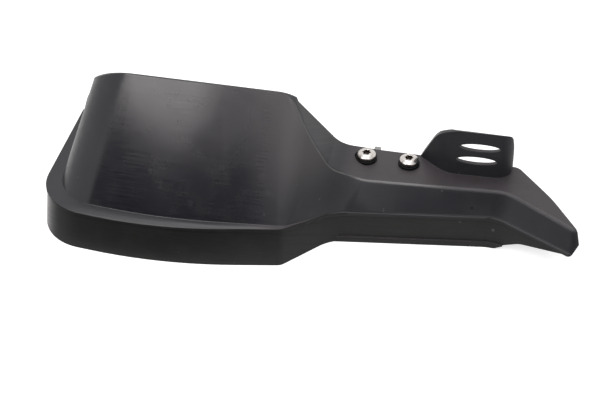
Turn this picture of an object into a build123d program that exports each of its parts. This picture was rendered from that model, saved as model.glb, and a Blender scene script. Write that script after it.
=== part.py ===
from build123d import *
import os
from math import radians, sqrt, tan

# Lengths are in millimetres and angles in degrees.
# While the pieces are built, x runs inboard from the outer end, y runs back towards the rider,
# and z runs up from the lower rim. At the end everything is moved to the bar-end mount.

# Heights and walls of the moulding
wall = 3.0
guard_height = 86.9
arm_height = 37.0
scoop_lip = 27.2
arm_lip = 21.5
lip_overhang = 0.8
lip_band = 2.2
ledge_slope = 0.15
skirt_draft = 1.0
side_flare = 3.5
side_reach = 2.4
face_step = 1.25
least_radius = 0.5
least_run = 0.05
arm_lap = 1.0

# Lip of the scoop, seen from above
scoop_width = 141.0
outer_sweep = 7.2
inner_sweep = 13.4
bow_position = 74.0
bow_radius = 280.0
rim_corner = 30.0
scoop_corner = 8.0

# Lip of the neck, arm and tip, seen from above
neck_run = 23.2
neck_depth = 27.2
neck_radius = 22.0
arm_run = 90.1
arm_sweep = 13.7
arm_bend = 20.0
tip_run = 51.2
tip_sweep = 27.5
tip_corner = 7.0

# Foot of the face, as steps in from the lip
ledge_side = 9.3
ledge_corner = 7.0
ledge_front = 8.8
ledge_end = 2.6
face_corner = 26.0

# Top of the face
side_lean = 15.5
top_depth = 57.4
top_bow = 1.0
top_bow_radius = 2000.0
top_corner = 22.0
shoulder_drift = 1.5
shoulder_radius = 35.0
neck_drift = 24.0
neck_lean = 52.0
arm_drift = 12.7
arm_lean = 19.0
tip_lean = 28.0
tip_draft = 1.0

# Top wall, seen from the front
shoulder_inset = 3.7
shoulder_run = 29.4
shoulder_fillet = 27.0
shoulder_corner = 13.0
crown_inset = 6.5
crown_slope = 1.3
crown_corner = 34.0
droop_start = 8.0
tip_droop = 3.0
droop_radius = 120.0
crease_radius = 2.5

# Lower rim past the arm, seen from the front
foot_run = 14.0
foot_rise = 10.5
foot_radius = 15.0
heel_radius = 5.0
tip_rise = 0.33
tip_undercut = 8.7
tip_end_slope = 1.8
tip_end_radius = 4.0

# Far edge of the top wall, seen from above
edge_depth = 82.5
edge_run = 33.2
edge_start = 59.5
edge_corner = 20.0
edge_bend = 6.0
tip_edge_run = 20.7
tip_edge_drop = 22.5
tip_edge_slope = 1.45
tip_edge_radius = 80.0

# Outer side wall, seen from the side
side_depth = 98.0
side_corner = 15.0
side_drop = 21.0
side_drop_run = 14.3
side_slope = 0.85
side_bend = 12.0
edge_land = 0.4

# Bead along the arm's lower rim
bead_height = 3.6
bead_width = 1.2

# Bar-end boss and its bush
boss_depth = 74.6
boss_height = 43.0
boss_radius = 14.5
boss_length = 16.0
seat_sink = 1.632
seat_radius = 12.0
bush_radius = 9.0
bush_bore = 12.5
bush_gap = 0.05

# Ribs inside the moulding
rib_wall = 2.4
side_rib_reach = 9.0
side_rib_start = 36.0
arm_rib_places = (226.0, 246.0)

# Slotted tab on the arm
tab_wall = 2.4
tab_height = 30.2
tab_left = 205.6
tab_return = 16.9
tab_width = 36.5
tab_front = 69.0
tab_sweep = 1.6
tab_lean = 13.8
tab_bend_radius = 18.0
tab_end_radius = 9.0
tab_left_corner = 20.0
tab_right_corner = 10.0
tab_top_corner = 6.0
tab_land = 4.5
tab_end_rise = 4.5
slot_length = 22.5
slot_height = 5.0
slot_pitch = 8.9
slot_inset = 16.9
slot_shift = 1.4
slot_low = 10.6

# Screws, washers, nuts and the bracket under the arm
screw_place = 177.3
screw_pitch = 24.2
screw_depth = 72.7
screw_radius = 3.0
screw_length = 16.0
head_radius = 5.25
head_height = 3.3
head_flat = 3.4
head_dome = 7.2
socket_radius = 2.5
socket_depth = 1.8
washer_radius = 6.0
washer_height = 1.6
hole_gap = 0.3
thread_gap = 0.05
seat_gap = 0.5
nut_flats = 10.0
nut_height = 5.0
bracket_wall = 3.0
bracket_length = 44.0
bracket_front = 63.0
bracket_back = 81.5
bracket_corner = 5.0
flange_width = 24.0
flange_drop = 26.0
flange_hole = 4.25
flange_hole_drop = 15.0
tongue_place = 181.9
tongue_width = 3.6
tongue_wall = 2.5
tongue_gap = 0.3


# Places that several outlines share
margin = 60.0
reach = 400.0
back = edge_depth + margin
neck_x = scoop_width + neck_run
neck_y = inner_sweep + neck_depth
arm_end_x = neck_x + arm_run
arm_end_y = neck_y + arm_sweep
tip_x = arm_end_x + tip_run
tip_y = arm_end_y - tip_sweep
far_right = tip_x + margin
crown_height = guard_height + wall
top_side = ledge_side + side_lean
seat_share = (boss_height - scoop_lip) / (guard_height - scoop_lip)
seat_x = ledge_side + side_lean * seat_share + seat_sink
screw_places = (screw_place, screw_place + screw_pitch)
tab_bend = tab_left + tab_return
tab_right = tab_bend + tab_width
END_ON = (Align.CENTER, Align.CENTER, Align.MIN)
SIDE_ON = (Align.CENTER, Align.MIN, Align.MIN)


def fitted(points, radii):
    """Radii of an outline's corners; the longer of two that don't fit on their side gives way."""
    count = len(points)
    spans = []
    for i in range(count):
        run = (points[i] - points[i - 1]).normalized()
        next_run = (points[(i + 1) % count] - points[i]).normalized()
        spans.append(sqrt((1 - run.dot(next_run)) / (1 + run.dot(next_run))))
    fits = list(radii)
    for i in range(count):
        after = (i + 1) % count
        room = (points[after] - points[i]).length - least_run
        longer, shorter = (i, after) if fits[i] * spans[i] > fits[after] * spans[after] else (after, i)
        if fits[longer] * spans[longer] + fits[shorter] * spans[shorter] > room:
            fits[longer] = (room - fits[shorter] * spans[shorter]) / spans[longer]
    return fits


def outline(corners, inset=0.0):
    """Closed face with corners (x, y, radius) listed anticlockwise, moved inward by inset."""
    count = len(corners)
    sides = []
    for i, (x, y, _) in enumerate(corners):
        next_x, next_y, _ = corners[(i + 1) % count]
        run = Vector(next_x - x, next_y - y).normalized()
        sides.append((Vector(x, y) + Vector(-run.Y, run.X) * inset, run))
    points = []
    radii = []
    for i, (_, _, radius) in enumerate(corners):
        start, run = sides[i - 1]
        next_start, next_run = sides[i]
        turn = run.X * next_run.Y - run.Y * next_run.X
        gap = next_start - start
        points.append(start + run * ((gap.X * next_run.Y - gap.Y * next_run.X) / turn))
        inset_radius = radius - inset if turn > 0 else radius + inset
        radii.append(max(inset_radius, least_radius) if radius else 0)
    return make_face(FilletPolyline(*points, radius=fitted(points, radii), close=True))


def across(corners, inset=0.0):
    """Profile in x and z, drawn through the whole depth."""
    return extrude(Plane.XZ * outline(corners, inset), amount=reach, both=True)


def sideways(corners):
    """Profile in y and z, drawn through the whole length."""
    return extrude(Plane.YZ * outline(corners), amount=reach, both=True)


def upright(corners, inset=0.0):
    """Profile in x and y, drawn through the whole height."""
    return extrude(outline(corners, inset), amount=reach, both=True)


def rim_corners(height):
    """Corners of the rim at a height; its outer side flares out towards the bottom."""
    side = side_flare * height / scoop_lip - side_reach
    return [
        (side, back, 0),
        (side, outer_sweep, rim_corner),
        (bow_position, 0, bow_radius),
        (scoop_width, inner_sweep, scoop_corner),
        (neck_x, neck_y, neck_radius),
        (arm_end_x, arm_end_y, arm_bend),
        (tip_x, tip_y, tip_corner),
        (tip_x, back, 0),
    ]


def skirt(inset, low, high):
    """Drafted skirt between two heights, moved inward by inset."""
    sections = []
    for height in (low, high):
        draft = (scoop_lip - height) * tan(radians(skirt_draft))
        sections.append(Pos(Z=height) * outline(rim_corners(height), lip_overhang + inset + draft))
    return loft(sections, ruled=True)


# Each line of the face has a foot (x, y, z, radius) and a top (x, y, radius) at the guard's height
face_lines = [
    ((ledge_side, back, scoop_lip, 0), (top_side, back, 0)),
    ((ledge_side, outer_sweep + ledge_corner, scoop_lip, face_corner), (top_side, top_depth, top_corner)),
    ((bow_position, ledge_front, scoop_lip, bow_radius), (bow_position, top_depth - top_bow, top_bow_radius)),
    (
        (scoop_width, inner_sweep + ledge_end, scoop_lip, scoop_corner),
        (scoop_width + shoulder_drift, top_depth, shoulder_radius),
    ),
    ((neck_x, neck_y, arm_lip, neck_radius), (neck_x + neck_drift, neck_y + neck_lean, neck_radius)),
    ((arm_end_x, arm_end_y, arm_lip, arm_bend), (arm_end_x + arm_drift, arm_end_y + arm_lean, arm_bend)),
    ((tip_x, tip_y, arm_lip, tip_corner), (tip_x - tip_draft, tip_y + tip_lean, tip_corner)),
    ((tip_x, back, arm_lip, 0), (tip_x - tip_draft, back, 0)),
]


def face_section(height, is_top, inset):
    """Section through the leaning face at a height, moved inward by inset."""
    corners = []
    for (x, y, z, radius), (top_x, top_y, top_radius) in face_lines:
        share = (height - z) / (guard_height - z)
        corner_radius = top_radius if is_top else radius
        corners.append((x + (top_x - x) * share, y + (top_y - y) * share, corner_radius))
    return Pos(Z=height) * outline(corners, inset)


def face_body(inset):
    """Leaning face from the arm's lip up past the guard's top, moved inward by inset."""
    return loft([face_section(arm_lip, False, inset), face_section(crown_height, True, inset)], ruled=True)


def lip_band_profile(low, high):
    """Band along the lip line, which drops from the scoop to the arm, from low to high above it."""
    bends = [(scoop_width, scoop_lip), (neck_x, arm_lip)]
    under = [(x, z + low, neck_radius) for x, z in bends]
    over = [(x, z + high, neck_radius) for x, z in bends[::-1]]
    return [
        (-margin, scoop_lip + low, 0),
        *under,
        (far_right, arm_lip + low, 0),
        (far_right, arm_lip + high, 0),
        *over,
        (-margin, scoop_lip + high, 0),
    ]


def top_profile(closed):
    """Region under the top wall and the shoulder; closed stops it at the guard's height."""
    shoulder_x = scoop_width - shoulder_inset
    crown_x = top_side + crown_inset
    rise = 0 if closed else margin
    run_up = rise * shoulder_run / (guard_height - arm_height)
    droop = tip_droop * (far_right - arm_end_x) / tip_run
    return [
        (crown_x - margin, -margin, 0),
        (far_right, -margin, 0),
        (far_right, arm_height - droop, 0),
        (arm_end_x + droop_start, arm_height, droop_radius),
        (shoulder_x + shoulder_run, arm_height, shoulder_fillet),
        (shoulder_x - run_up, guard_height + rise, shoulder_corner if closed else 0),
        (crown_x, guard_height + rise, crown_corner if closed else 0),
        (crown_x - margin, guard_height + rise - margin * crown_slope, 0),
    ]


foot_x = arm_end_x + foot_run
tip_foot_x = tip_x - tip_undercut
tip_foot_z = foot_rise + tip_rise * (tip_foot_x - foot_x)
bottom_profile = [
    (-margin, 0, 0),
    (arm_end_x, 0, heel_radius),
    (foot_x, foot_rise, foot_radius),
    (tip_foot_x, tip_foot_z, tip_end_radius),
    (tip_foot_x + margin, tip_foot_z + margin * tip_end_slope, 0),
    (tip_foot_x + margin, guard_height + 2 * margin, 0),
    (-margin, guard_height + 2 * margin, 0),
]

tip_edge_x = arm_end_x + droop_start + tip_edge_run
tip_edge_y = edge_depth - tip_edge_drop
tip_edge = [
    (-margin, -margin, 0),
    (tip_edge_x + (tip_edge_y + margin) / tip_edge_slope, -margin, 0),
    (tip_edge_x, tip_edge_y, tip_edge_radius),
]
plan_profile = tip_edge + [
    (arm_end_x + droop_start, edge_depth, edge_bend),
    (scoop_width + edge_run, edge_depth, edge_corner),
    (scoop_width, edge_start, 0),
    (scoop_width - wall, edge_start + wall, 0),
    (scoop_width - wall, back, 0),
    (-margin, back, 0),
]
open_plan = tip_edge + [
    (arm_end_x + droop_start, edge_depth, 0),
    (arm_end_x + droop_start, back + margin, 0),
    (-margin, back + margin, 0),
]

arm_start = scoop_width + neck_run / 4
arm_plan = [(arm_start, -margin, 0), (far_right, -margin, 0), (far_right, back, 0), (arm_start, back, 0)]

side_y = top_depth + side_drop_run
side_z = guard_height + edge_land - side_drop
side_profile = [
    (-margin, -margin, 0),
    (side_depth, -margin, 0),
    (side_depth, side_z - (side_depth - side_y) * side_slope, side_corner),
    (side_y, side_z, side_bend),
    (-margin, side_z + (side_y + margin) * side_drop / side_drop_run, 0),
]


ledge_profile = [
    (-margin, -margin, 0),
    (back + margin, -margin, 0),
    (back + margin, crown_height, 0),
    (ledge_front, crown_height, 0),
    (ledge_front, scoop_lip, 0),
    (-margin, scoop_lip - ledge_slope * (ledge_front + margin), 0),
]


def crease_edges(body):
    """Edges where the leaning face meets the top wall and the shoulder."""
    level = 0.02
    upward = 0.3
    forward = 0.15
    top_edges = set()
    face_edges = set()
    for side in body.faces():
        normal = side.normal_at()
        if abs(normal.Y) < level and normal.Z > upward:
            top_edges.update(side.edges())
        elif normal.Y < -forward:
            face_edges.update(side.edges())
    return [edge for edge in top_edges & face_edges if edge.center().Z < guard_height]


def outer_form():
    """Outside of the moulding as a solid, without the tab and the boss."""
    face = face_body(0) & across(top_profile(False))
    face = fillet(crease_edges(face), crease_radius)
    form = skirt(0, 0, scoop_lip + wall) & across(lip_band_profile(-margin, 0))
    form += upright(rim_corners(scoop_lip)) & across(lip_band_profile(-lip_band, 0))
    form = form & sideways(ledge_profile)
    form += face & across(lip_band_profile(0, 2 * margin))
    form += arm_bead()
    form = form & across(top_profile(True)) & across(bottom_profile)
    return form & sideways(side_profile) & upright(plan_profile)


def arm_bead():
    """Bead along the arm's lower rim, growing out of the skirt between the neck and the arm's end."""
    line = outline(
        [
            (neck_x, back, 0),
            (neck_x, neck_y, 0),
            (arm_end_x, arm_end_y, arm_bend),
            (tip_x, tip_y, tip_corner),
            (tip_x, back, 0),
        ],
        lip_overhang - bead_width / 2,
    )
    return extrude(line, amount=bead_height)


def ribs():
    """Ribs left standing in the hollow: one along the outer side, two across the arm."""
    side_rib = Pos(0, side_rib_start, boss_height - rib_wall / 2) * Box(
        seat_x + wall + side_rib_reach, boss_depth - side_rib_start, rib_wall, align=Align.MIN
    )
    arm_rib = sideways([
        (0, bead_height, 0),
        (arm_end_y, bead_height, 0),
        (tab_front, arm_height, 0),
        (0, arm_height, 0),
    ])
    slabs = [Pos(X=place) * Box(rib_wall, reach, reach) for place in arm_rib_places]
    return [side_rib] + [arm_rib & slab for slab in slabs]


def hollow():
    """Space inside the moulding, open at the back and at the bottom."""
    space = skirt(wall, -margin, scoop_lip) & across(lip_band_profile(-2 * margin, -wall))
    space += face_body(wall * face_step) & across(lip_band_profile(-2 * wall, 2 * margin))
    space += skirt(wall, arm_lip - 2 * wall, arm_lip + arm_lap) & upright(arm_plan)
    space = space & across(top_profile(False), wall) & upright(open_plan, wall)
    return space - ribs()


def along_x(x, radius, length):
    """Cylinder on the bar's axis, starting at x."""
    return Pos(x, boss_depth, boss_height) * Rot(Y=90) * Cylinder(radius, length, align=END_ON)


def upright_pin(x, z, radius, length):
    """Cylinder on a screw's axis, starting at z."""
    return Pos(x, screw_depth, z) * Cylinder(radius, length, align=END_ON)


def tab():
    """Curved upright tab with two slots."""
    top = arm_height + tab_height
    walk = tab_return / (edge_depth - tab_front)
    plan = [
        (tab_left - walk * margin, edge_depth + margin, 0),
        (tab_bend, tab_front, tab_bend_radius),
        (tab_right, tab_front + tab_sweep, tab_end_radius),
        (tab_right, edge_depth + margin, 0),
    ]
    front = [
        (tab_left, arm_height - wall, 0),
        (tab_right, arm_height - wall, 0),
        (tab_right, top, tab_top_corner),
        (tab_left + tab_lean, top, tab_left_corner),
    ]
    side = [
        (-margin, arm_height - wall, 0),
        (edge_depth, arm_height - wall, 0),
        (edge_depth, arm_height + tab_end_rise, 0),
        (tab_front + tab_land, top, tab_right_corner),
        (-margin, top, 0),
    ]
    piece = (upright(plan) - upright(plan, tab_wall)) & across(front) & sideways(side) & upright(plan_profile)
    for row in (0, 1):
        slot_x = tab_bend + slot_inset + row * slot_shift
        slot_z = arm_height + slot_low + row * slot_pitch
        slot = Pos(slot_x, slot_z) * Ellipse(slot_length / 2, slot_height / 2)
        piece -= Pos(Y=tab_front) * extrude(Plane.XZ * slot, amount=margin / 2, both=True)
    return piece


def guard_shell():
    """The one moulding: scoop, rim, arm, tip, tab and bar-end boss."""
    solid = outer_form()
    shell = solid - hollow()
    shell += along_x(seat_x - boss_length, boss_radius, boss_length) & solid
    shell += along_x(seat_x, boss_radius, boss_length)
    shell -= along_x(seat_x - margin, seat_radius, margin)
    shell -= along_x(seat_x - wall, bush_radius + bush_gap, boss_length + 2 * wall)
    shell += tab()
    for x in screw_places:
        shell -= upright_pin(x, arm_height, washer_radius + seat_gap, wall)
        shell -= upright_pin(x, arm_height - 2 * wall, screw_radius + hole_gap, 3 * wall)
    return shell


def bar_end_bush():
    """Metal sleeve in the bar-end boss."""
    sleeve = along_x(seat_x, bush_radius, boss_length)
    return sleeve - along_x(seat_x - wall, bush_bore / 2, boss_length + 2 * wall)


def mounting_bracket():
    """Steel bracket under the arm with a flange down and a tongue up behind the far edge."""
    middle = screw_place + screw_pitch / 2
    top = arm_height - wall
    left = middle - bracket_length / 2
    right = middle + bracket_length / 2
    plate = extrude(
        Pos(Z=top) * outline([
            (left, bracket_front, bracket_corner),
            (right, bracket_front, bracket_corner),
            (right, bracket_back, 0),
            (left, bracket_back, bracket_corner),
        ]),
        amount=-bracket_wall,
    )
    flange = Pos(0, bracket_back, 0) * extrude(
        Plane.XZ * outline([
            (right - flange_width, top - flange_drop, bracket_corner),
            (right, top - flange_drop, bracket_corner),
            (right, top, 0),
            (right - flange_width, top, 0),
        ]),
        amount=bracket_wall,
    )
    plate += flange
    hole = Pos(right - flange_width / 2, bracket_back + wall, top - flange_hole_drop) * Rot(X=90)
    plate -= hole * Cylinder(flange_hole, 4 * wall)
    tongue_back = edge_depth + tongue_gap + tongue_wall
    reach = Pos(tongue_place, bracket_front + bracket_corner, top - bracket_wall) * Box(
        tongue_width, tongue_back - bracket_front - bracket_corner, bracket_wall, align=SIDE_ON
    )
    upstand = Pos(tongue_place, edge_depth + tongue_gap, top - bracket_wall) * Box(
        tongue_width, tongue_wall, bracket_wall + wall, align=SIDE_ON
    )
    plate += [reach, upstand]
    for x in screw_places:
        plate -= upright_pin(x, top - 2 * bracket_wall, screw_radius + hole_gap, 3 * bracket_wall)
    return plate


def screw(x):
    """Button-head screw with a flat on its dome and a six-pointed socket."""
    seat = arm_height + washer_height
    crown = seat + head_height
    dome_centre = crown - sqrt(head_dome**2 - head_flat**2)
    head = upright_pin(x, seat, head_radius, head_height)
    head &= Pos(x, screw_depth, dome_centre) * Sphere(head_dome)
    points = [RegularPolygon(socket_radius, 3, rotation=turn) for turn in (0, 180)]
    head -= extrude(Pos(x, screw_depth, crown) * (points[0] + points[1]), amount=-socket_depth)
    return head + upright_pin(x, seat - screw_length, screw_radius, screw_length)


def washer(x):
    """Flat washer under a screw's head."""
    ring = upright_pin(x, arm_height, washer_radius, washer_height)
    return ring - upright_pin(x, arm_height - wall, screw_radius + hole_gap, 3 * wall)


def weld_nut(x):
    """Hexagon nut under the bracket."""
    top = arm_height - wall - bracket_wall
    hexagon = Pos(x, screw_depth, top) * RegularPolygon(nut_flats / 2, 6, major_radius=False)
    block = extrude(hexagon, amount=-nut_height)
    return block - upright_pin(x, top - 2 * nut_height, screw_radius + thread_gap, 3 * nut_height)


pieces = {
    "guard_shell": guard_shell(),
    "bar_end_bush": bar_end_bush(),
    "mounting_bracket": mounting_bracket(),
}
for name, x in zip(("outer", "inner"), screw_places):
    pieces["screw_" + name] = screw(x)
    pieces["washer_" + name] = washer(x)
    pieces["weld_nut_" + name] = weld_nut(x)

# The frame's origin is on the bar's axis, at the seat of the bar-end boss
os.makedirs("parts", exist_ok=True)
for name, piece in pieces.items():
    placed = Pos(-seat_x, -boss_depth, -boss_height) * piece
    export_step(placed, f"parts/{name}.step")
    print(name, "valid", placed.is_valid, "solids", len(placed.solids()), "volume", round(placed.volume))
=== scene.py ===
import math

import bmesh
import bpy
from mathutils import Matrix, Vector


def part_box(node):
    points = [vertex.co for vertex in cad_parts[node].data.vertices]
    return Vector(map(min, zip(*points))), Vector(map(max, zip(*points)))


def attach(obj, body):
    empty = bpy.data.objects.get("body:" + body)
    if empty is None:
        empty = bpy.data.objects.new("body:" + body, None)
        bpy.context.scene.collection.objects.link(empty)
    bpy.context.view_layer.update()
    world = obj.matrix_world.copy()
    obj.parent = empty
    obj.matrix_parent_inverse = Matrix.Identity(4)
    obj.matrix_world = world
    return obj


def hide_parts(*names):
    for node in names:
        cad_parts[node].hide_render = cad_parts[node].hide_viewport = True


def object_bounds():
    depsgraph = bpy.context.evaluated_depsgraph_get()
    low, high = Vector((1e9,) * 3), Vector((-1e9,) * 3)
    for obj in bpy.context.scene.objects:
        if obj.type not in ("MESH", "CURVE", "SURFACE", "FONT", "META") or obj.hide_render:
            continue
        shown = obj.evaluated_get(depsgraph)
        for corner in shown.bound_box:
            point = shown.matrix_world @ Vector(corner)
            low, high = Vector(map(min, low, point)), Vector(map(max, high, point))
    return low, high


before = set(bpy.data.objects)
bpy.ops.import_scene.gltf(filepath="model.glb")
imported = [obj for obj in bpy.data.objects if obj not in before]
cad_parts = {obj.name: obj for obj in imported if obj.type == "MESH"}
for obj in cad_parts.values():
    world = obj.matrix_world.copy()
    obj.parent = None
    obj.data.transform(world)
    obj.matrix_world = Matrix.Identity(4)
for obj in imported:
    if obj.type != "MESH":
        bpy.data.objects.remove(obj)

cad_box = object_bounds()

# Lengths are in metres, in the part's own frame: the origin is on the bar's axis at the boss's seat.
MM = 0.001

# Which parts of a place count in plan, and across the bar's axis
IN_PLAN = (1, 1, 0)
ACROSS_BAR = (0, 1, 1)

# Camera, as the guard is seen: from the front, a little from the right, looking down
CAMERA_TARGET = Vector((0.13097, -0.03506, -0.015))
CAMERA_BACK = Vector((0.16158, -0.76017, 0.62932))
CAMERA_DISTANCE = 0.9
CAMERA_LENS = 97.12
CAMERA_CLIP = 0.01
SENSOR_WIDTH = 36.0

# Edges of the moulding and of the metal pieces
MOULDED_EDGE = 0.5 * MM
MOULDED_ROLL = 2.4 * MM
METAL_EDGE = 0.25 * MM
WELD_GAP = 0.01 * MM
SMOOTH_ANGLE = math.radians(30)
FLAT_WEIGHT = 80

# Button-head screws: M6, with a six-lobed socket and a rolled thread
HEAD_RADIUS = 5.25 * MM
HEAD_HEIGHT = 3.3 * MM
HEAD_FLAT = 3.4 * MM
HEAD_LAND = 0.85
HEAD_DOME = 7.2 * MM
HEAD_FOOT = 0.25 * MM
HEAD_SHOULDER = 1.9 * MM
# Height on the head's side below which its painted shade is full
HEAD_SHADE_FULL = 1.1 * MM
DOME_STEPS = 10
SOCKET_RADIUS = 2.15 * MM
SOCKET_LOBE = 0.3 * MM
SOCKET_LOBES = 6
SOCKET_DEPTH = 1.7 * MM
SOCKET_DIMPLE = 0.3 * MM
SOCKET_CHAMFER = 0.2 * MM
SOCKET_TAPER = 0.96
SOCKET_MOUTH = 1.08
THREAD_RADIUS = 3.0 * MM
THREAD_ROOT = 2.45 * MM
THREAD_PITCH = 1.0 * MM
THREAD_END = 1.2 * MM
THREAD_FLAT = 0.12
THREAD_FLANK = 0.7
ROUND_STEPS = 72
THREAD_STEPS = 8

# Where the moulding's finish changes along the guard: face, neck, bend, arm, crease and tip
FACE_END = 0.096
ARM_START = 0.140
NECK_END = 0.168
BEND_START = 0.146
BEND_END = 0.178
BEND_FADE = 8 * MM
CREASE_END = 0.192
CREASE_GONE = 0.214
TIP_START = 0.268
TIP_END = 0.278

# Where it changes with height, from the neck's top down to the skirt
NECK_TOP = 20 * MM
TAB_FOOT = -9.0 * MM
SKIRT_TOP = -13.0 * MM

# Where it changes with the way a surface faces, from nought to full: up, back or sideways
UPRIGHT_UP = (0.18, 0.08)
LEVEL_UP = (0.75, 0.95)
LEANING_UP = (0.62, 0.5)
CREASE_UP = (0.66, 0.8)
CREASE_BACK = (-0.2, -0.4)
NECK_EDGE_BACK_LOW = (-0.64, -0.5)
NECK_EDGE_BACK_HIGH = (-0.22, -0.36)
NECK_EDGE_SIDE = (0.45, 0.6)
NECK_SHEEN_BACK = (-0.4, -0.6)
LAP_BACK = (-0.2, -0.5)
TIP_FACE_SIDE = (0.8, 0.5)
OUTER_SIDE = (-0.5, -0.9)

# Parting seam down the skirt, and the fine lap between the arm's face and its skirt
SEAM_PLACE = 0.069
SEAM_CORE = 0.1 * MM
SEAM_EDGE = 0.5 * MM
LAP_START = 0.128
LAP_LEVEL = -21.0 * MM
LAP_WIDTH = 0.7 * MM
LAP_DEPTH = 0.35 * MM

# Front lip of the scoop's ledge: an arc in plan, and how far in and down its top rolls over
LIP_CENTRE = Vector((0.0450, 0.2223, 0.0))
LIP_RADIUS = 294.05 * MM
LIP_ROLL = 4.5 * MM
LIP_DROP = 1.2 * MM

# Places and sizes of rubbed marks on the face, pale specks on the arm and one dark spot there
FACE_SCUFFS = [
    (Vector((0.0497, -0.0495, 0.0033)), 4.0 * MM),
    (Vector((0.0564, -0.0545, -0.0030)), 3.0 * MM),
    (Vector((0.0742, -0.0581, -0.0084)), 4.5 * MM),
    (Vector((0.1119, -0.0450, 0.0051)), 5.5 * MM),
    (Vector((0.1161, -0.0490, -0.0009)), 4.0 * MM),
    (Vector((0.0894, -0.0446, 0.0080)), 3.5 * MM),
]
ARM_SPECKS = [
    (Vector((0.2079, -0.0193, -0.0081)), 0.7 * MM),
    (Vector((0.2194, -0.0223, -0.0260)), 0.8 * MM),
    (Vector((0.2380, -0.0201, -0.0304)), 1.5 * MM),
]
ARM_DARK_SPOT = [(Vector((0.2253, -0.0207, -0.0162)), 2.1 * MM)]
SPOT_CORE = 0.2
SCUFF_STRETCH = (420, 1300, 1300)
SCUFF_LIMITS = (0.34, 0.66)

# Studio: floor, dark cards that only reflections show, lamps and the room's light
FLOOR_HALF = 6.0
FLOOR_GAP = 0.02 * MM
FLOOR_GREY = 0.8
FLOOR_GLOW = 0.72
APRON_GAP = 0.3 * MM
CARD_GREY = 0.01
CARD_FADE = 0.18
CARD_FRONT = -1.3
CURTAIN_FOOT = 0.6
LAMP_TINT = (1.0, 0.965, 0.955)
ROOM_LIGHT = 0.22
SEEN_LIGHT = 1.0


# Small helpers for shader trees

def feed(tree, socket, value):
    """Links a socket to another node's output, or sets its own value."""
    if isinstance(value, bpy.types.NodeSocket):
        tree.links.new(value, socket)
    else:
        socket.default_value = value


def node(tree, kind, inputs=None, **settings):
    """A new node with its settings and its inputs, by name or number."""
    made = tree.nodes.new(kind)
    for name, value in settings.items():
        setattr(made, name, value)
    for key, value in (inputs or {}).items():
        feed(tree, made.inputs[key], value)
    return made


def sums(tree, operation, first, second=0.0):
    """One sum on two values."""
    return node(tree, "ShaderNodeMath", {0: first, 1: second}, operation=operation).outputs[0]


def times(tree, first, *others):
    """The product of several values."""
    for other in others:
        first = sums(tree, "MULTIPLY", first, other)
    return first


def vector_sum(tree, operation, output, first, *others):
    """One sum on vectors, and which of its outputs is wanted."""
    inputs = dict(enumerate((first, *others)))
    return node(tree, "ShaderNodeVectorMath", inputs, operation=operation).outputs[output]


def parts_of(tree, vector):
    """The three parts of a vector."""
    return node(tree, "ShaderNodeSeparateXYZ", {0: vector}).outputs


def fade(tree, value, low, high, to_low=0.0, to_high=1.0):
    """A smooth step of a value from low to high."""
    inputs = {0: value, 1: low, 2: high, 3: to_low, 4: to_high}
    return node(tree, "ShaderNodeMapRange", inputs, interpolation_type="SMOOTHSTEP").outputs[0]


def within(tree, away, core, edge):
    """One up to the core, nought past the edge."""
    return fade(tree, away, core, edge, to_low=1.0, to_high=0.0)


def from_axis(tree, place, parts):
    """How far a place lies from an axis, by the parts of it that count."""
    return vector_sum(tree, "LENGTH", "Value", vector_sum(tree, "MULTIPLY", 0, place, parts))


def blend(tree, factor, first, second):
    """The second value over the first, by a factor."""
    return node(tree, "ShaderNodeMix", {0: factor, 2: first, 3: second}).outputs[0]


def tint(tree, factor, first, second):
    """The second colour over the first, by a factor."""
    mixed = node(tree, "ShaderNodeMix", {0: factor, 6: first, 7: second}, data_type="RGBA")
    return mixed.outputs[2]


def mix_normals(tree, factor, first, second):
    """The second normal over the first, by a factor."""
    mixed = node(tree, "ShaderNodeMix", {0: factor, 4: first, 5: second}, data_type="VECTOR").outputs[1]
    return vector_sum(tree, "NORMALIZE", 0, mixed)


def bump(tree, height, strength, distance, normal):
    """Bumped normal over a rounded one."""
    inputs = {"Height": height, "Strength": strength, "Distance": distance, "Normal": normal}
    return node(tree, "ShaderNodeBump", inputs).outputs[0]


def noise(tree, place, scale, detail=2.0, roughness=0.55):
    """Soft noise at a scale per metre."""
    inputs = {"Vector": place, "Scale": scale, "Detail": detail, "Roughness": roughness}
    return node(tree, "ShaderNodeTexNoise", inputs).outputs[0]


def grey(value):
    """A grey as a colour."""
    return (value, value, value, 1.0)


def coats(tree, colour, layers):
    """A colour under several layers: each has a mask, its share and its own colour."""
    for mask, share, over in layers:
        factor = mask if share == 1 else times(tree, mask, share)
        colour = tint(tree, factor, colour, over)
    return colour


def empty_tree(holder):
    """The emptied node tree of a material or a world."""
    holder.use_nodes = True
    holder.node_tree.nodes.clear()
    return holder.node_tree


def shader_tree(name):
    """A new material, its tree, its principled shader and object coordinates."""
    material = bpy.data.materials.new(name)
    tree = empty_tree(material)
    shader = node(tree, "ShaderNodeBsdfPrincipled")
    output = node(tree, "ShaderNodeOutputMaterial")
    tree.links.new(shader.outputs[0], output.inputs[0])
    place = node(tree, "ShaderNodeTexCoord").outputs["Object"]
    return material, tree, shader, place


def finish_shader(tree, shader, **values):
    """Sets or links the shader's inputs; an underscore in a name stands for a space."""
    for name, value in values.items():
        feed(tree, shader.inputs[name.replace("_", " ")], value)


# Node groups that several finishes share

NUMBER = "NodeSocketFloat"
VECTOR = "NodeSocketVector"


def shared_group(name, takes, gives):
    """A new node group with named sockets: its tree, what it is given and what it puts out."""
    tree = bpy.data.node_groups.new(name, "ShaderNodeTree")
    for label, kind in takes.items():
        tree.interface.new_socket(label, in_out="INPUT", socket_type=kind)
    for label, kind in gives.items():
        tree.interface.new_socket(label, in_out="OUTPUT", socket_type=kind)
    return tree, node(tree, "NodeGroupInput").outputs, node(tree, "NodeGroupOutput").inputs


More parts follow.
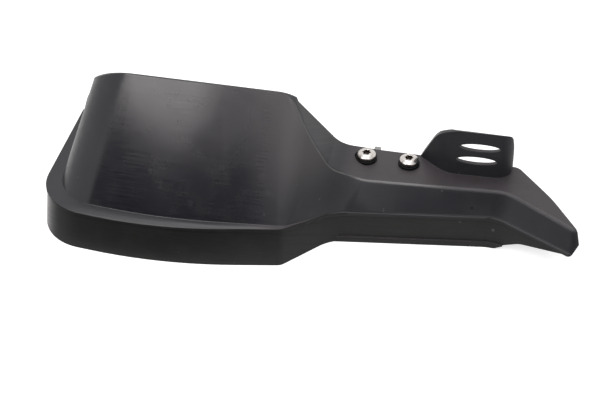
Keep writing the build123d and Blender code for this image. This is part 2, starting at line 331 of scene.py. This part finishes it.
def use(tree, group, inputs):
    """Places a group in a material with its own values."""
    placed = node(tree, "ShaderNodeGroup", node_tree=group)
    for name, value in inputs.items():
        feed(tree, placed.inputs[name], value)
    return placed.outputs


def fine_scratches_group():
    """Thin streaks: one inside a scratch, nought between."""
    lean = 0.6
    soft_edge = 0.14
    takes = {"Place": VECTOR, "Turn": NUMBER, "Along": NUMBER, "Across": NUMBER, "Fewness": NUMBER}
    tree, given, result = shared_group("fine_scratches", takes, {"Scratches": NUMBER})
    turned = node(
        tree, "ShaderNodeVectorRotate",
        {"Vector": given["Place"], "Axis": (0, 1, 0), "Angle": given["Turn"]}, rotation_type="AXIS_ANGLE",
    ).outputs[0]
    x, y, z = parts_of(tree, turned)
    slope = sums(tree, "ADD", z, times(tree, y, lean))
    streaks = node(tree, "ShaderNodeCombineXYZ", {
        0: times(tree, x, given["Along"]),
        1: times(tree, slope, given["Across"]),
    })
    lines = noise(tree, streaks.outputs[0], 1.0)
    high = sums(tree, "ADD", given["Fewness"], soft_edge)
    feed(tree, result["Scratches"], fade(tree, lines, given["Fewness"], high))
    return tree


def smudges_group():
    """Cloudy patches left by handling."""
    soft_edge = 0.2
    takes = {"Place": VECTOR, "Scale": NUMBER, "Fewness": NUMBER}
    tree, given, result = shared_group("handling_smudges", takes, {"Smudges": NUMBER})
    cloud = noise(tree, given["Place"], given["Scale"], detail=4.0, roughness=0.62)
    high = sums(tree, "ADD", given["Fewness"], soft_edge)
    feed(tree, result["Smudges"], fade(tree, cloud, given["Fewness"], high))
    return tree


def specks_group():
    """Dust specks, one in a few of many small cells."""
    core_share = 0.5
    takes = {"Place": VECTOR, "Scale": NUMBER, "Size": NUMBER, "Share": NUMBER}
    tree, given, result = shared_group("dust_specks", takes, {"Specks": NUMBER})
    cells = node(tree, "ShaderNodeTexVoronoi", {"Vector": given["Place"], "Scale": given["Scale"]})
    chance = node(tree, "ShaderNodeSeparateColor", {0: cells.outputs["Color"]}).outputs[0]
    picked = sums(tree, "LESS_THAN", chance, given["Share"])
    core = times(tree, given["Size"], core_share)
    dot = within(tree, cells.outputs["Distance"], core, given["Size"])
    feed(tree, result["Specks"], times(tree, picked, dot))
    return tree


def edge_wear_group():
    """Rounded normals at edges, and a broken mask of where edges are rubbed."""
    edge_limits = (0.98, 0.8)
    break_limits = (0.38, 0.62)
    takes = {"Place": VECTOR, "Radius": NUMBER, "Scale": NUMBER}
    tree, given, result = shared_group("edge_wear", takes, {"Wear": NUMBER, "Rounded": VECTOR})
    rounded = node(tree, "ShaderNodeBevel", {"Radius": given["Radius"]}, samples=8).outputs[0]
    flat = node(tree, "ShaderNodeNewGeometry").outputs["Normal"]
    facing = vector_sum(tree, "DOT_PRODUCT", "Value", rounded, flat)
    edge = fade(tree, facing, *edge_limits)
    broken = fade(tree, noise(tree, given["Place"], given["Scale"], detail=3.0), *break_limits)
    feed(tree, result["Wear"], times(tree, edge, broken))
    feed(tree, result["Rounded"], rounded)
    return tree


def grain_group():
    """Fine pebbled grain, as spark-textured moulds and blasted metal have."""
    finer = 3.1
    fine_share = 0.5
    takes = {"Place": VECTOR, "Scale": NUMBER}
    tree, given, result = shared_group("fine_grain", takes, {"Height": NUMBER})
    coarse = noise(tree, given["Place"], given["Scale"], detail=2.0)
    fine = noise(tree, given["Place"], times(tree, given["Scale"], finer), detail=1.0)
    feed(tree, result["Height"], sums(tree, "ADD", coarse, times(tree, fine, fine_share)))
    return tree


def tool_rings_group():
    """Uneven rings about an axis, as a lathe or a header leaves them."""
    takes = {"Distance": NUMBER, "Rings": NUMBER}
    tree, given, result = shared_group("tool_rings", takes, {"Rings": NUMBER})
    inputs = {"W": times(tree, given["Distance"], given["Rings"]), "Scale": 1.0, "Detail": 2.0}
    feed(tree, result["Rings"], node(tree, "ShaderNodeTexNoise", inputs, noise_dimensions="1D").outputs[0])
    return tree


FINE_SCRATCHES = fine_scratches_group()
SMUDGES = smudges_group()
SPECKS = specks_group()
EDGE_WEAR = edge_wear_group()
GRAIN = grain_group()
TOOL_RINGS = tool_rings_group()


# Finish of the moulding

def spots(tree, place, marks):
    """Soft round masks at places on the surface."""
    total = None
    for centre, size in marks:
        away = vector_sum(tree, "DISTANCE", "Value", place, centre)
        near = within(tree, away, SPOT_CORE * size, size)
        total = near if total is None else sums(tree, "MAXIMUM", total, near)
    return total


def scuff_mask(tree, place):
    """Rubbed marks on the face, broken into short streaks."""
    stretched = vector_sum(tree, "MULTIPLY", 0, place, SCUFF_STRETCH)
    ragged = noise(tree, stretched, 1.0, detail=5.0, roughness=0.8)
    return fade(tree, times(tree, spots(tree, place, FACE_SCUFFS), ragged), *SCUFF_LIMITS)


def lip_height(tree, place):
    """One on the ledge, falling off towards its front lip."""
    flat = vector_sum(tree, "MULTIPLY", 0, place, IN_PLAN)
    away = vector_sum(tree, "DISTANCE", "Value", flat, LIP_CENTRE)
    inward = sums(tree, "DIVIDE", sums(tree, "SUBTRACT", LIP_RADIUS, away), LIP_ROLL)
    share = sums(tree, "MAXIMUM", sums(tree, "SUBTRACT", 1.0, inward), 0.0)
    return sums(tree, "SUBTRACT", 1.0, sums(tree, "POWER", share, 2.0))


def away_from(tree, value, level):
    """How far a value lies from a level."""
    return sums(tree, "ABSOLUTE", sums(tree, "SUBTRACT", value, level))


def crease_mask(tree, along, height, facing, arm):
    """The rubbed edge that runs down the neck and along the arm's top, where a pale line is painted on as a
    highlight.
    """
    sideways, back, up = facing
    top_edge = times(tree, fade(tree, back, *CREASE_BACK), fade(tree, up, *CREASE_UP), arm)
    neck_edge = times(
        tree,
        fade(tree, back, *NECK_EDGE_BACK_LOW),
        fade(tree, back, *NECK_EDGE_BACK_HIGH),
        fade(tree, sideways, *NECK_EDGE_SIDE),
    )
    return times(
        tree,
        sums(tree, "MAXIMUM", top_edge, neck_edge),
        fade(tree, height, SKIRT_TOP, TAB_FOOT),
        fade(tree, along, CREASE_GONE, CREASE_END),
    )


def moulding_zones(tree, place):
    """Masks of the moulding's zones, by where a point lies and which way its surface faces."""
    facing = parts_of(tree, node(tree, "ShaderNodeNewGeometry").outputs["Normal"])
    sideways, back, up = facing
    along, _, height = parts_of(tree, place)
    arm = fade(tree, along, FACE_END, ARM_START)
    low = fade(tree, height, TAB_FOOT, SKIRT_TOP)
    upright = fade(tree, up, *UPRIGHT_UP)
    level = fade(tree, up, *LEVEL_UP)
    skirt = times(tree, low, upright)
    seam_away = away_from(tree, along, SEAM_PLACE)
    lap_away = away_from(tree, height, LAP_LEVEL)
    return {
        "arm": arm,
        "arm_top": times(tree, level, arm),
        "upright": upright,
        "skirt": skirt,
        "outer_side": fade(tree, sideways, *OUTER_SIDE),
        "ledge": times(tree, level, low, fade(tree, arm, 1.0, 0.0)),
        "crease": crease_mask(tree, along, height, facing, arm),
        "seam": times(tree, skirt, within(tree, seam_away, SEAM_CORE, SEAM_EDGE)),
        "tip": times(tree, fade(tree, along, TIP_START, TIP_END), fade(tree, sideways, *TIP_FACE_SIDE)),
        "bend": times(
            tree,
            fade(tree, along, BEND_START - BEND_FADE, BEND_START),
            fade(tree, up, *LEANING_UP),
            fade(tree, along, BEND_END + BEND_FADE, BEND_END),
        ),
        # Painted sheen: where the neck faces front its colour is lightened, standing in for the light it
        # reflects
        "neck_sheen": times(
            tree,
            arm,
            fade(tree, along, NECK_END, ARM_START),
            fade(tree, height, SKIRT_TOP, NECK_TOP),
            fade(tree, back, *NECK_SHEEN_BACK),
        ),
        "lap": times(
            tree,
            fade(tree, back, *LAP_BACK),
            fade(tree, along, LAP_START, ARM_START),
            within(tree, lap_away, 0.0, LAP_WIDTH),
        ),
    }


def moulding_marks(tree, place):
    """Masks of what moulding, handling and dust left on the plastic."""
    return {
        "lines": use(tree, FINE_SCRATCHES, {
            "Place": place, "Turn": 0.0, "Along": 40.0, "Across": 1300.0, "Fewness": 0.42,
        })["Scratches"],
        "strays": use(tree, FINE_SCRATCHES, {
            "Place": place, "Turn": 0.35, "Along": 70.0, "Across": 1500.0, "Fewness": 0.70,
        })["Scratches"],
        "clouds": use(tree, SMUDGES, {"Place": place, "Scale": 60.0, "Fewness": 0.45})["Smudges"],
        "patches": use(tree, SMUDGES, {"Place": place, "Scale": 210.0, "Fewness": 0.6})["Smudges"],
        "specks": use(tree, SPECKS, {"Place": place, "Scale": 260.0, "Size": 0.16, "Share": 0.05})["Specks"],
        "scuffs": scuff_mask(tree, place),
        "pale_spots": spots(tree, place, ARM_SPECKS),
        "dark_spot": spots(tree, place, ARM_DARK_SPOT),
    }


# The plastic's own colour, and each layer over it with its share and colour; the arm top, neck and crease
# layers are painted light
PLASTIC_COLOUR = (0.0112, 0.0106, 0.0152, 1)
PLASTIC_LAYERS = [
    ("skirt", 1, (0.0042, 0.0042, 0.0040, 1)),
    # Painted sheen: the arm's upward-facing top is coloured lighter and warmer, standing in for the overhead
    # light it catches
    ("arm_top", 1, (0.0440, 0.0385, 0.0440, 1)),
    ("clouds", 0.25, grey(0.020)),
    ("patches", 0.12, (0.034, 0.034, 0.036, 1)),
    ("strays", 0.3, grey(0.06)),
    ("scuffs", 0.2, (0.045, 0.045, 0.048, 1)),
    ("worn_edges", 0.25, grey(0.05)),
    ("specks", 0.45, grey(0.10)),
    ("pale_spots", 0.5, grey(0.12)),
    # Painted sheen on the neck's front-facing side
    ("neck_sheen", 1, (0.062, 0.058, 0.061, 1)),
    # Painted highlight: a pale line along the crease and the neck's edge, over the rubbed edge, standing in
    # for the light it catches
    ("crease", 0.8, grey(0.12)),
    ("dark_spot", 0.9, grey(0.001)),
]

# Roughness of the scoop's face, of each zone over it, and what marks add to it
FACE_ROUGHNESS = 0.17
ZONE_ROUGHNESS = {
    "arm": 0.46,
    "arm_top": 0.46,
    "upright": 0.6,
    "crease": 0.22,
    "ledge": 0.34,
    "bend": 0.55,
    "skirt": 0.78,
    "outer_side": 0.32,
}
MARK_ROUGHNESS = {"lines": 0.04, "clouds": 0.02, "scuffs": 0.06, "dark_spot": 0.45}

# Height of the plastic's grain, and how deep marks cut into it as shares of that
PLASTIC_RELIEF = 0.03 * MM
MARK_DEPTH = {"lines": 0.25, "strays": 0.08, "seam": 1.5}


def moulding_finish():
    """Black plastic: polished on the scoop's face, satin on the arm, dull on the skirt, with painted sheen
    on the arm's top and neck and a painted highlight along the crease.
    """
    material, tree, shader, place = shader_tree("satin_black_plastic")
    edges = use(tree, EDGE_WEAR, {"Place": place, "Radius": MOULDED_EDGE, "Scale": 300.0})
    rolled = use(tree, EDGE_WEAR, {"Place": place, "Radius": MOULDED_ROLL, "Scale": 300.0})
    masks = {"worn_edges": edges["Wear"], **moulding_zones(tree, place), **moulding_marks(tree, place)}
    layers = [(masks[name], share, over) for name, share, over in PLASTIC_LAYERS]

    rough = FACE_ROUGHNESS
    for name, value in ZONE_ROUGHNESS.items():
        rough = blend(tree, masks[name], rough, value)
    for name, extra in MARK_ROUGHNESS.items():
        rough = sums(tree, "ADD", rough, times(tree, masks[name], extra))

    relief = use(tree, GRAIN, {"Place": place, "Scale": 2400.0})["Height"]
    for name, depth in MARK_DEPTH.items():
        relief = sums(tree, "SUBTRACT", relief, times(tree, masks[name], depth))
    soft = sums(tree, "MAXIMUM", masks["tip"], masks["bend"])
    normal = mix_normals(tree, soft, edges["Rounded"], rolled["Rounded"])
    lapped = sums(tree, "SUBTRACT", 1.0, masks["lap"])
    normal = bump(tree, lapped, strength=1.0, distance=LAP_DEPTH, normal=normal)
    lip = bump(tree, lip_height(tree, place), strength=1.0, distance=LIP_DROP, normal=normal)
    normal = mix_normals(tree, masks["ledge"], normal, lip)
    finish_shader(
        tree, shader,
        Base_Color=coats(tree, PLASTIC_COLOUR, layers),
        Roughness=rough,
        Specular_IOR_Level=0.5,
        Normal=bump(tree, relief, strength=0.14, distance=PLASTIC_RELIEF, normal=normal),
    )
    return material


# Finishes of the metal pieces

RING_LIMITS = (0.3, 0.7)
METAL_RELIEF = 0.02 * MM


def stainless_finish():
    """Bright stainless steel: header rings, handling marks, painted shade with some grime in the socket, and
    painted shade round the foot of the head.
    """
    material, tree, shader, place = shader_tree("bright_stainless")
    away = from_axis(tree, place, IN_PLAN)
    height = parts_of(tree, place)[2]
    rings = use(tree, TOOL_RINGS, {"Distance": away, "Rings": 9000.0})["Rings"]
    edges = use(tree, EDGE_WEAR, {"Place": place, "Radius": 0.15 * MM, "Scale": 900.0})
    clouds = use(tree, SMUDGES, {"Place": place, "Scale": 500.0, "Fewness": 0.45})["Smudges"]
    lines = use(tree, FINE_SCRATCHES, {
        "Place": place, "Turn": 0.6, "Along": 300.0, "Across": 6000.0, "Fewness": 0.62,
    })["Scratches"]
    above = fade(tree, height, 0.0, HEAD_FOOT)
    # Painted shade with a brown grime tint: the socket's walls and floor are coloured dark, as a hole in
    # shade would look
    sunk = fade(tree, height, HEAD_HEIGHT - SOCKET_CHAMFER, HEAD_HEIGHT - 3 * SOCKET_CHAMFER)
    inside = fade(tree, away, HEAD_FLAT, SOCKET_RADIUS + SOCKET_LOBE)
    socket = times(tree, sunk, above, inside)
    # Painted shade: the head's side darkens towards its foot, where it meets the washer
    head_side_shade = times(tree, fade(tree, height, HEAD_SHOULDER, HEAD_SHADE_FULL), above)
    colour = coats(tree, (0.68, 0.64, 0.61, 1), [
        (clouds, 1, (0.52, 0.48, 0.455, 1)),
        (edges["Wear"], 0.5, grey(0.66)),
        (socket, 0.9, (0.030, 0.018, 0.014, 1)),
        (head_side_shade, 0.8, (0.045, 0.042, 0.040, 1)),
    ])
    ringed = fade(tree, rings, *RING_LIMITS, to_low=0.2, to_high=0.32)
    rough = sums(tree, "ADD", ringed, times(tree, lines, 0.12))
    relief = sums(tree, "SUBTRACT", rings, lines)
    finish_shader(
        tree, shader,
        Base_Color=colour,
        Metallic=1.0,
        Roughness=rough,
        Normal=bump(tree, relief, strength=0.12, distance=METAL_RELIEF, normal=edges["Rounded"]),
    )
    return material


def plated_finish():
    """Zinc-plated steel: dull silver with clouded passivation and rubbed edges."""
    material, tree, shader, place = shader_tree("zinc_plate")
    edges = use(tree, EDGE_WEAR, {"Place": place, "Radius": 0.3 * MM, "Scale": 500.0})
    clouds = use(tree, SMUDGES, {"Place": place, "Scale": 130.0, "Fewness": 0.42})["Smudges"]
    lines = use(tree, FINE_SCRATCHES, {
        "Place": place, "Turn": 0.2, "Along": 60.0, "Across": 2500.0, "Fewness": 0.6,
    })["Scratches"]
    specks = use(tree, SPECKS, {"Place": place, "Scale": 500.0, "Size": 0.2, "Share": 0.08})["Specks"]
    grain = use(tree, GRAIN, {"Place": place, "Scale": 1500.0})["Height"]
    colour = coats(tree, (0.29, 0.29, 0.285, 1), [
        (clouds, 1, (0.24, 0.245, 0.255, 1)),
        (specks, 0.7, (0.14, 0.13, 0.11, 1)),
        (edges["Wear"], 0.6, grey(0.40)),
    ])
    clouded = fade(tree, clouds, 0.0, 1.0, to_low=0.36, to_high=0.48)
    rough = sums(tree, "ADD", clouded, times(tree, lines, 0.1))
    relief = sums(tree, "SUBTRACT", grain, lines)
    finish_shader(
        tree, shader,
        Base_Color=colour,
        Metallic=1.0,
        Roughness=rough,
        Normal=bump(tree, relief, strength=0.15, distance=METAL_RELIEF, normal=edges["Rounded"]),
    )
    return material


def turned_finish():
    """Turned aluminium bush: rings about the bar's axis."""
    material, tree, shader, place = shader_tree("turned_aluminium")
    away = from_axis(tree, place, ACROSS_BAR)
    along = parts_of(tree, place)[0]
    rings = use(tree, TOOL_RINGS, {"Distance": sums(tree, "ADD", away, along), "Rings": 7000.0})["Rings"]
    edges = use(tree, EDGE_WEAR, {"Place": place, "Radius": 0.3 * MM, "Scale": 500.0})
    clouds = use(tree, SMUDGES, {"Place": place, "Scale": 240.0, "Fewness": 0.45})["Smudges"]
    colour = coats(tree, (0.76, 0.76, 0.77, 1), [
        (clouds, 1, (0.62, 0.62, 0.63, 1)),
        (edges["Wear"], 0.5, grey(0.85)),
    ])
    finish_shader(
        tree, shader,
        Base_Color=colour,
        Metallic=1.0,
        Roughness=fade(tree, rings, *RING_LIMITS, to_low=0.24, to_high=0.4),
        Normal=bump(tree, rings, strength=0.2, distance=METAL_RELIEF, normal=edges["Rounded"]),
    )
    return material


def black_washer_finish():
    """Black-coated washer, with bare steel where its edges are rubbed."""
    material, tree, shader, place = shader_tree("black_coated_steel")
    edges = use(tree, EDGE_WEAR, {"Place": place, "Radius": 0.25 * MM, "Scale": 700.0})
    clouds = use(tree, SMUDGES, {"Place": place, "Scale": 400.0, "Fewness": 0.45})["Smudges"]
    grain = use(tree, GRAIN, {"Place": place, "Scale": 2500.0})["Height"]
    bare = times(tree, edges["Wear"], 0.25)
    colour = coats(tree, grey(0.004), [
        (clouds, 1, (0.008, 0.0078, 0.0075, 1)),
        (bare, 1, grey(0.4)),
    ])
    finish_shader(
        tree, shader,
        Base_Color=colour,
        Metallic=bare,
        Specular_IOR_Level=0.15,
        Roughness=fade(tree, clouds, 0.0, 1.0, to_low=0.5, to_high=0.62),
        Normal=bump(tree, grain, strength=0.15, distance=METAL_RELIEF, normal=edges["Rounded"]),
    )
    return material


# Pieces

def dress(name, material):
    """Gives a CAD node its finish, with its facets joined."""
    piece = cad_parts[name]
    piece.data.materials.clear()
    piece.data.materials.append(material)
    weld = piece.modifiers.new("join_seams", "WELD")
    weld.merge_threshold = WELD_GAP
    return piece


def even_shading(piece):
    """Keeps flats flat and curves smooth under the light."""
    even = piece.modifiers.new("even_shading", "WEIGHTED_NORMAL")
    even.mode = "FACE_AREA"
    even.weight = FLAT_WEIGHT
    even.keep_sharp = False


def dress_moulding():
    """The moulding: smooth sweeps, crisp edges."""
    piece = dress("guard_shell", moulding_finish())
    split = piece.modifiers.new("crisp_edges", "EDGE_SPLIT")
    split.split_angle = SMOOTH_ANGLE
    even_shading(piece)


def dress_metal(name, material):
    """A metal piece, with its sharp edges broken."""
    piece = dress(name, material)
    chamfer = piece.modifiers.new("broken_edges", "BEVEL")
    chamfer.width = METAL_EDGE
    chamfer.segments = 2
    chamfer.limit_method = "ANGLE"
    chamfer.angle_limit = SMOOTH_ANGLE
    even_shading(piece)


def thread_rows(top, bottom):
    """Rows of a rolled thread: height and, for each step round, radius."""
    rows = []
    count = round((top - bottom) / THREAD_PITCH * THREAD_STEPS)
    for i in range(count + 1):
        height = top + (bottom - top) * i / count
        run_out = min(1.0, (height - bottom) / THREAD_END)
        radii = []
        for step in range(ROUND_STEPS):
            phase = (height / THREAD_PITCH - step / ROUND_STEPS) % 1.0
            crest = min(1.0, max(0.0, (abs(phase - 0.5) * 2 - THREAD_FLAT) / THREAD_FLANK))
            radius = THREAD_ROOT + (THREAD_RADIUS - THREAD_ROOT) * crest
            radii.append(THREAD_ROOT + (radius - THREAD_ROOT) * run_out)
        rows.append((height, radii))
    return rows


def lobes(scale):
    """Radii round a six-lobed socket."""
    angles = [2 * math.pi * step / ROUND_STEPS for step in range(ROUND_STEPS)]
    return [scale * (SOCKET_RADIUS + SOCKET_LOBE * math.cos(SOCKET_LOBES * angle)) for angle in angles]


def circle(radius):
    """The same radius all round."""
    return [radius] * ROUND_STEPS


def screw_rows(length):
    """Rows of radii from the socket's floor over the head and down the thread; nought is under the head."""
    sphere = math.sqrt(HEAD_DOME**2 - HEAD_FLAT**2)
    rows = [
        (HEAD_HEIGHT - SOCKET_DEPTH, lobes(SOCKET_TAPER)),
        (HEAD_HEIGHT - SOCKET_CHAMFER, lobes(1.0)),
        (HEAD_HEIGHT, lobes(SOCKET_MOUTH)),
        (HEAD_HEIGHT, circle(HEAD_FLAT * HEAD_LAND)),
    ]
    rim = HEAD_RADIUS - HEAD_FOOT / 2
    for i in range(DOME_STEPS + 1):
        radius = HEAD_FLAT + (rim - HEAD_FLAT) * i / DOME_STEPS
        height = HEAD_HEIGHT - sphere + math.sqrt(HEAD_DOME**2 - radius**2)
        rows.append((height, circle(radius)))
    shoulder = rows[-1][0] - HEAD_FOOT
    rows.append((shoulder, circle(HEAD_RADIUS)))
    rows.append((HEAD_FOOT, circle(HEAD_RADIUS)))
    rows.append((0.0, circle(HEAD_RADIUS - HEAD_FOOT)))
    rows.append((0.0, circle(THREAD_RADIUS)))
    return rows + thread_rows(-THREAD_PITCH / THREAD_STEPS, -length)


def button_screw(name, node_name, material):
    """A screw with a domed head, a six-lobed socket and a thread, in place of its plain solid."""
    low, high = (Vector(corner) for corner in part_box(node_name))
    length = high.z - low.z - HEAD_HEIGHT
    mesh_maker = bmesh.new()
    rings = []
    for height, radii in screw_rows(length):
        ring = []
        for step, radius in enumerate(radii):
            angle = 2 * math.pi * step / ROUND_STEPS
            ring.append(mesh_maker.verts.new((radius * math.cos(angle), radius * math.sin(angle), height)))
        rings.append(ring)
    dimple = mesh_maker.verts.new((0, 0, HEAD_HEIGHT - SOCKET_DEPTH - SOCKET_DIMPLE))
    end = mesh_maker.verts.new((0, 0, -length))
    for step in range(ROUND_STEPS):
        follow = (step + 1) % ROUND_STEPS
        mesh_maker.faces.new((rings[0][follow], dimple, rings[0][step]))
        mesh_maker.faces.new((rings[-1][step], end, rings[-1][follow]))
        for upper, lower in zip(rings, rings[1:]):
            mesh_maker.faces.new((upper[step], lower[step], lower[follow], upper[follow]))
    bmesh.ops.recalc_face_normals(mesh_maker, faces=mesh_maker.faces)
    mesh = bpy.data.meshes.new(name)
    mesh_maker.to_mesh(mesh)
    mesh_maker.free()
    mesh.shade_smooth()
    mesh.set_sharp_from_angle(angle=SMOOTH_ANGLE)
    mesh.materials.append(material)
    screw = bpy.data.objects.new(name, mesh)
    screw.location = ((low.x + high.x) / 2, (low.y + high.y) / 2, high.z - HEAD_HEIGHT)
    bpy.context.scene.collection.objects.link(screw)
    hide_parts(node_name)
    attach(screw, "root")


dress_moulding()
plate = plated_finish()
stainless = stainless_finish()
washer_black = black_washer_finish()
dress_metal("mounting_bracket", plate)
dress_metal("bar_end_bush", turned_finish())
for end_name in ("outer", "inner"):
    dress_metal(f"weld_nut_{end_name}", plate)
    dress_metal(f"washer_{end_name}", washer_black)
    button_screw(f"button_screw_{end_name}", f"screw_{end_name}", stainless)


# Stage

def white_for_seen_rays(tree):
    """One where a ray comes from the camera, a glossy surface or glass, else nought."""
    rays = node(tree, "ShaderNodeLightPath").outputs
    seen = sums(tree, "MAXIMUM", rays["Is Camera Ray"], rays["Is Glossy Ray"])
    return sums(tree, "MAXIMUM", seen, rays["Is Transmission Ray"])


def mixed_surface(tree, factor, first, second):
    """Shows the second shader over the first, by a factor."""
    pick = node(tree, "ShaderNodeMixShader", {0: factor})
    tree.links.new(first.outputs[0], pick.inputs[1])
    tree.links.new(second.outputs[0], pick.inputs[2])
    output = node(tree, "ShaderNodeOutputMaterial")
    tree.links.new(pick.outputs[0], output.inputs[0])


def floor_material():
    """Pale floor that is white to the eye and still takes the shadow."""
    material = bpy.data.materials.new("pale_floor")
    tree = empty_tree(material)
    diffuse = node(tree, "ShaderNodeBsdfDiffuse", {"Color": grey(FLOOR_GREY)})
    glow = node(tree, "ShaderNodeEmission", {"Color": grey(1.0), "Strength": FLOOR_GLOW})
    both = node(tree, "ShaderNodeAddShader")
    tree.links.new(diffuse.outputs[0], both.inputs[0])
    tree.links.new(glow.outputs[0], both.inputs[1])
    mixed_surface(tree, white_for_seen_rays(tree), diffuse, both)
    return material


def dark_card_material():
    """Matt black that thins out towards a card's left and right ends."""
    material = bpy.data.materials.new("dark_card")
    tree = empty_tree(material)
    across = parts_of(tree, node(tree, "ShaderNodeTexCoord").outputs["Generated"])[0]
    thick = times(tree, fade(tree, across, 0.0, CARD_FADE), fade(tree, across, 1.0, 1.0 - CARD_FADE))
    clear = node(tree, "ShaderNodeBsdfTransparent")
    black = node(tree, "ShaderNodeBsdfDiffuse", {"Color": grey(CARD_GREY)})
    mixed_surface(tree, thick, clear, black)
    return material


def flat_card(name, material, left, right, near, far):
    """A flat card from left to right, between a near and a far edge that are given as y and z."""
    corners = [(left, *near), (right, *near), (right, *far), (left, *far)]
    mesh = bpy.data.meshes.new(name)
    mesh.from_pydata(corners, [], [(0, 1, 2, 3)])
    mesh.materials.append(material)
    card = bpy.data.objects.new(name, mesh)
    bpy.context.scene.collection.objects.link(card)
    return card


def softbox(name, place, aim, width, height, power):
    """A rectangular lamp at a place, turned towards a point."""
    lamp = bpy.data.lights.new(name, "AREA")
    lamp.color = LAMP_TINT
    lamp.shape = "RECTANGLE"
    lamp.size = width
    lamp.size_y = height
    lamp.energy = power
    holder = bpy.data.objects.new(name, lamp)
    holder.location = place
    holder.rotation_euler = (Vector(place) - Vector(aim)).to_track_quat("Z", "Y").to_euler()
    holder.visible_camera = False
    bpy.context.scene.collection.objects.link(holder)


floor_level = cad_box[0][2] - FLOOR_GAP
apron_level = floor_level + APRON_GAP
flat_card(
    "pale_floor", floor_material(), left=-FLOOR_HALF, right=FLOOR_HALF,
    near=(-FLOOR_HALF, floor_level), far=(FLOOR_HALF, floor_level),
)

dark = dark_card_material()
for card in (
    flat_card(
        "dark_curtain", dark, left=-0.90, right=0.30,
        near=(CARD_FRONT, CURTAIN_FOOT), far=(-1.0, 1.5),
    ),
    flat_card(
        "dark_skirting", dark, left=-0.90, right=1.20,
        near=(CARD_FRONT, floor_level), far=(CARD_FRONT, CURTAIN_FOOT),
    ),
    flat_card(
        "dark_apron", dark, left=-0.09, right=0.45,
        near=(CARD_FRONT, apron_level), far=(-0.075, apron_level),
    ),
    flat_card(
        "dark_side_apron", dark, left=0.33, right=0.90,
        near=(-0.30, apron_level), far=(0.02, apron_level),
    ),
):
    card.visible_camera = False
    card.visible_diffuse = False
    card.visible_shadow = False

softbox("near_softbox", (-0.06, -0.252, 0.3), (0.02, -0.035, 0.02), width=0.17, height=0.16, power=0.50)
softbox("side_softbox", (0.19, -0.252, 0.285), (0.15, -0.035, 0.01), width=0.33, height=0.16, power=0.45)
softbox("top_softbox", (0.12, 0.02, 0.62), (0.12, -0.02, 0.0), width=0.5, height=0.4, power=1.7)

world = bpy.data.worlds.new("studio")
bpy.context.scene.world = world
sky = empty_tree(world)
strength = fade(sky, white_for_seen_rays(sky), 0.0, 1.0, ROOM_LIGHT, SEEN_LIGHT)
background = node(sky, "ShaderNodeBackground", {"Color": grey(1.0), "Strength": strength})
sky_output = node(sky, "ShaderNodeOutputWorld")
sky.links.new(background.outputs[0], sky_output.inputs[0])

camera_data = bpy.data.cameras.new("camera")
camera_data.lens = CAMERA_LENS
camera_data.sensor_width = SENSOR_WIDTH
camera_data.sensor_fit = "HORIZONTAL"
camera_data.clip_start = CAMERA_CLIP
camera_data.dof.use_dof = False
camera = bpy.data.objects.new("camera", camera_data)
camera.location = CAMERA_TARGET + CAMERA_BACK.normalized() * CAMERA_DISTANCE
camera.rotation_euler = CAMERA_BACK.to_track_quat("Z", "Y").to_euler()
bpy.context.scene.collection.objects.link(camera)
bpy.context.scene.camera = camera

bpy.context.scene.view_settings.view_transform = "Standard"
